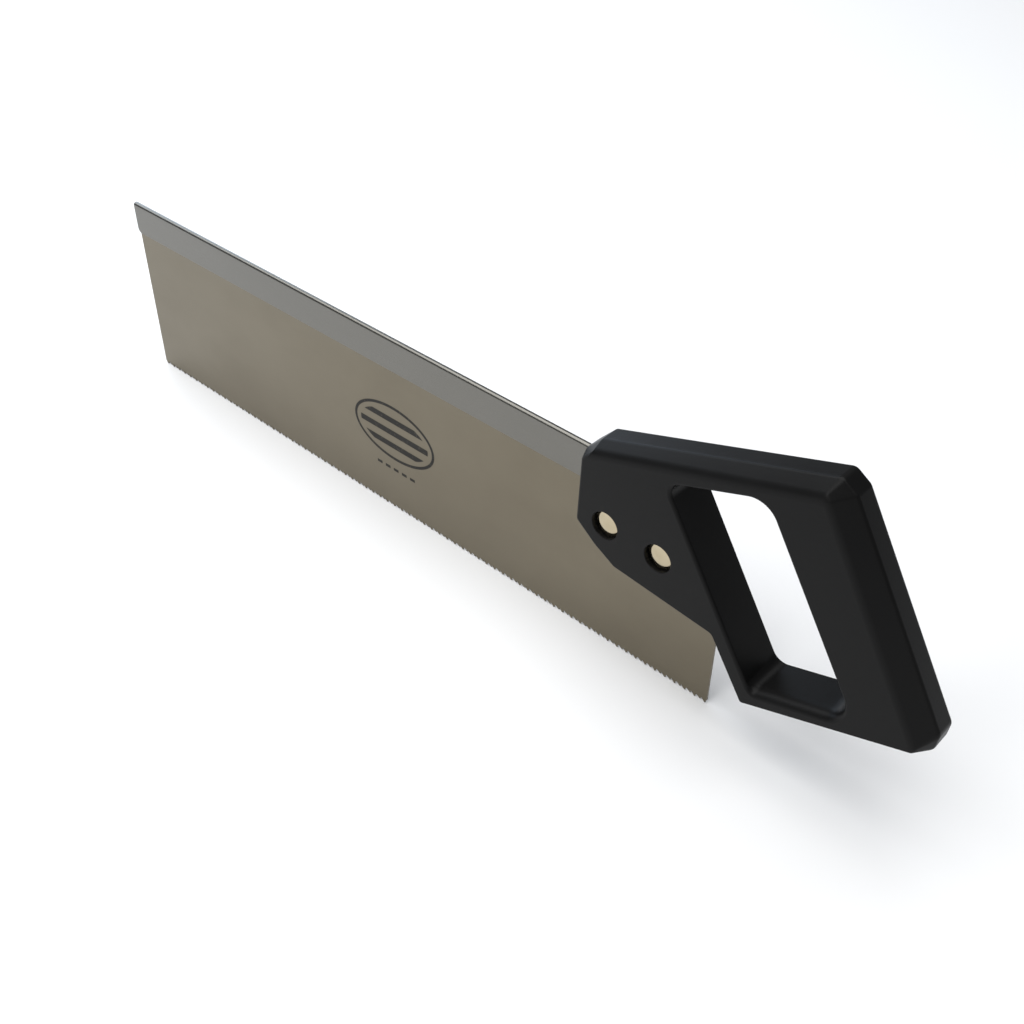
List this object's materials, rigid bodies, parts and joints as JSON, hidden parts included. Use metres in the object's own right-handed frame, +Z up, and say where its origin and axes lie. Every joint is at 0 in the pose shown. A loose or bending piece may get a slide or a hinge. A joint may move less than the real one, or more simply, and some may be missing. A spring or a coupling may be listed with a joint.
{
  "type": "hand saw",
  "caption": "Back saw for a mitre box: toothed steel plate, folded steel back and a closed one-piece moulded handle held by binder screws.",
  "frame": {"origin": "on the line of the tooth points, in the middle of the plate's thickness, under the middle of the saw's whole length", "axes": "+Z up from the teeth to the back, +X along the saw from the toe to the handle, +Y out of the plate's far side; the saw is upright, teeth down"},
  "size_m": [0.4382, 0.019, 0.1321],
  "materials": {
    "plate_steel": "ground and lightly polished, fine grain along the plate",
    "back_steel": "bright rolled strip, satin",
    "handle_plastic": "satin moulded, very fine grain, softly rounded edges",
    "plated_fastener": "warm nickel plating, polished"
  },
  "bodies": {
    "root": {"saw_plate": "plate_steel", "folded_back": "back_steel", "handle": "handle_plastic", "front_barrel_nut": "plated_fastener", "rear_barrel_nut": "plated_fastener", "front_binder_screw": "plated_fastener", "rear_binder_screw": "plated_fastener"}
  },
  "joints": []
}
